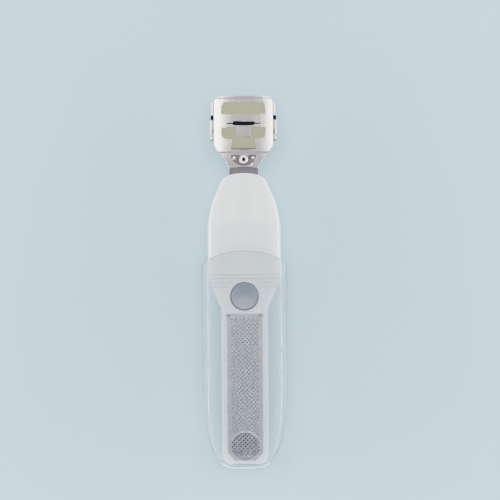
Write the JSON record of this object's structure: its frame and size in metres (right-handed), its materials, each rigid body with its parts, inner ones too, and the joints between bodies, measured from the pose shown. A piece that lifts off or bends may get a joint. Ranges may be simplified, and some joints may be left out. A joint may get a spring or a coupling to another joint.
{
  "type": "callus shaver",
  "caption": "Callus shaver with a stamped steel blade head on a bottle-shaped handle, a perforated rasp on its tongue, and a frosted sliding safety sleeve with a push-button catch.",
  "frame": {"origin": "on the flat back of the sleeve, below the middle of the tool's length and width", "axes": "+Z out of the front with the button, +Y along the tool towards the blade head, +X to the right as seen from the front with the head up"},
  "size_m": [0.0442, 0.1936, 0.018],
  "materials": {
    "sleeve_plastic": "frosted translucent moulded plastic, satin outside",
    "handle_plastic": "smooth white moulded plastic",
    "button_plastic": "satin grey moulded plastic",
    "spring_steel": "drawn spring wire",
    "rasp_steel": "punched stainless foil",
    "satin_steel": "tumbled stainless sheet",
    "tang_steel": "brushed stainless strip",
    "mirror_steel": "polished and plated stainless sheet",
    "blade_steel": "ground stainless strip",
    "rivet_steel": "bright plated rivets"
  },
  "bodies": {
    "handle": {"front_shell": "handle_plastic", "back_shell": "handle_plastic", "rasp_foil": "rasp_steel", "tang": "tang_steel", "carrier_plate": "satin_steel", "cover_plate": "mirror_steel", "blade": "blade_steel", "centre_eyelet": "rivet_steel", "side_rivets": "rivet_steel", "button_spring": "spring_steel"},
    "sleeve": {"sleeve": "sleeve_plastic"},
    "button": {"button": "button_plastic"}
  },
  "joints": [
    {"name": "sleeve_slide", "type": "slide", "parent": "handle", "child": "sleeve", "axis": [0, 1, 0], "range_m": [0, 0.0778]},
    {"name": "button_press", "type": "slide", "parent": "handle", "child": "button", "axis": [0, 0, 1], "range_m": [-0.001, 0.0016], "stiffness_N_per_m": 600, "springref_m": 0.0048, "deforming": ["button_spring"]}
  ]
}
